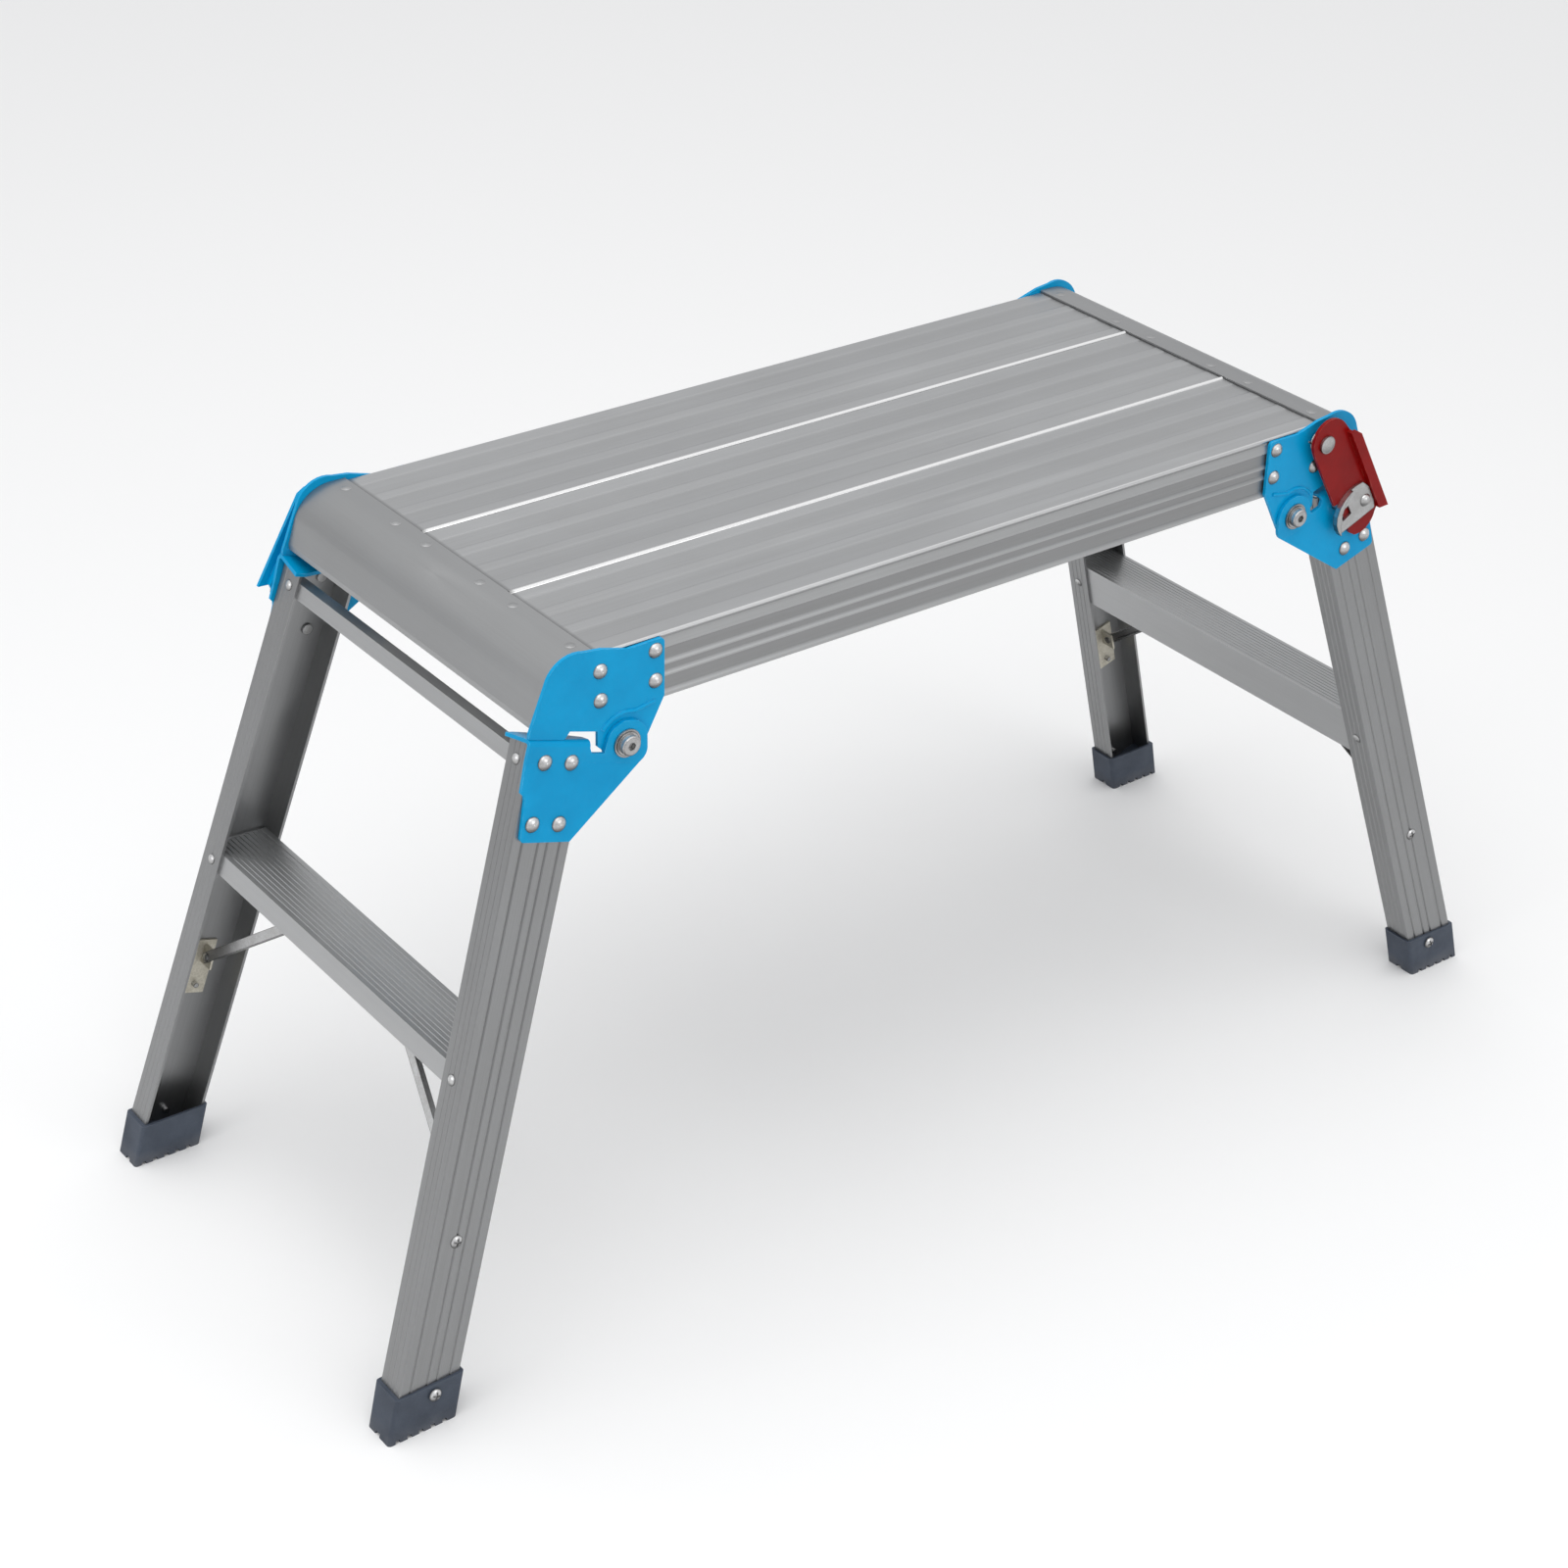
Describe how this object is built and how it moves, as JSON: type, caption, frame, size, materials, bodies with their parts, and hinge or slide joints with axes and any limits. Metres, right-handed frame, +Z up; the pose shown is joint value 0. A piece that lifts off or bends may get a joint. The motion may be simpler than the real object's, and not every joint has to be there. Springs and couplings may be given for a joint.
{
  "type": "folding work platform",
  "caption": "Folding aluminium work platform bench: a planked deck on two leg frames that fold under it, with steps, braces, rubber feet and side latches.",
  "frame": {"origin": "on the floor, under the middle of the deck", "axes": "+X along the deck towards the end with the front latch, +Y across the deck towards the rear, +Z up"},
  "size_m": [0.997, 0.3872, 0.5066],
  "materials": {
    "aluminium": "satin, brushed along the length",
    "blue_paint": "semi-gloss powder coat",
    "red_paint": "semi-gloss powder coat",
    "zinc": "bright zinc plating",
    "rubber": "matt"
  },
  "bodies": {
    "deck": {"deck_plank_centre": "aluminium", "deck_plank_front": "aluminium", "deck_plank_rear": "aluminium", "left_end_cap": "aluminium", "right_end_cap": "aluminium", "end_cap_rivets": "zinc", "deck_bracket_front_left": "blue_paint", "deck_bracket_front_right": "blue_paint", "deck_bracket_rear_left": "blue_paint", "deck_bracket_rear_right": "blue_paint", "deck_bracket_rivets": "zinc", "hinge_bolts": "zinc", "hinge_bolt_washers": "zinc", "hinge_bolt_nuts": "zinc", "front_latch_pin": "zinc", "rear_latch_pin": "zinc", "front_latch_spring": "zinc", "rear_latch_spring": "zinc"},
    "left_frame": {"left_leg_front": "aluminium", "left_leg_rear": "aluminium", "left_leg_bracket_front": "blue_paint", "left_leg_bracket_rear": "blue_paint", "left_bracket_rivets": "zinc", "left_latch_striker": "zinc", "left_top_bar": "aluminium", "left_top_bar_rivets": "zinc", "left_step": "aluminium", "left_step_rivets": "zinc", "left_brace_front": "zinc", "left_brace_rear": "zinc", "left_brace_clips": "zinc", "left_brace_rivets": "zinc", "left_clip_screws": "zinc", "left_boot_front": "rubber", "left_boot_rear": "rubber", "left_boot_screws": "zinc"},
    "right_frame": {"right_leg_front": "aluminium", "right_leg_rear": "aluminium", "right_leg_bracket_front": "blue_paint", "right_leg_bracket_rear": "blue_paint", "right_bracket_rivets": "zinc", "right_latch_striker": "zinc", "right_top_bar": "aluminium", "right_top_bar_rivets": "zinc", "right_step": "aluminium", "right_step_rivets": "zinc", "right_brace_front": "zinc", "right_brace_rear": "zinc", "right_brace_clips": "zinc", "right_brace_rivets": "zinc", "right_clip_screws": "zinc", "right_boot_front": "rubber", "right_boot_rear": "rubber", "right_boot_screws": "zinc"},
    "front_latch": {"front_latch_lever": "red_paint", "front_latch_catch": "zinc"},
    "rear_latch": {"rear_latch_lever": "blue_paint", "rear_latch_catch": "zinc"}
  },
  "joints": [
    {"name": "left_frame_fold", "type": "hinge", "parent": "deck", "child": "left_frame", "pos_m": [-0.287, 0, 0.435], "axis": [0, -1, 0], "range_deg": [0, 111]},
    {"name": "right_frame_fold", "type": "hinge", "parent": "deck", "child": "right_frame", "pos_m": [0.287, 0, 0.435], "axis": [0, 1, 0], "range_deg": [0, 95]},
    {"name": "front_latch_release", "type": "hinge", "parent": "deck", "child": "front_latch", "pos_m": [0.3041, -0.1592, 0.4886], "axis": [0, -1, 0], "range_deg": [0, 30], "stiffness_Nm_per_rad": 0.15, "springref_deg": -22.92},
    {"name": "rear_latch_release", "type": "hinge", "parent": "deck", "child": "rear_latch", "pos_m": [-0.3041, 0.1592, 0.4886], "axis": [0, 1, 0], "range_deg": [0, 30], "stiffness_Nm_per_rad": 0.15, "springref_deg": -22.92}
  ]
}
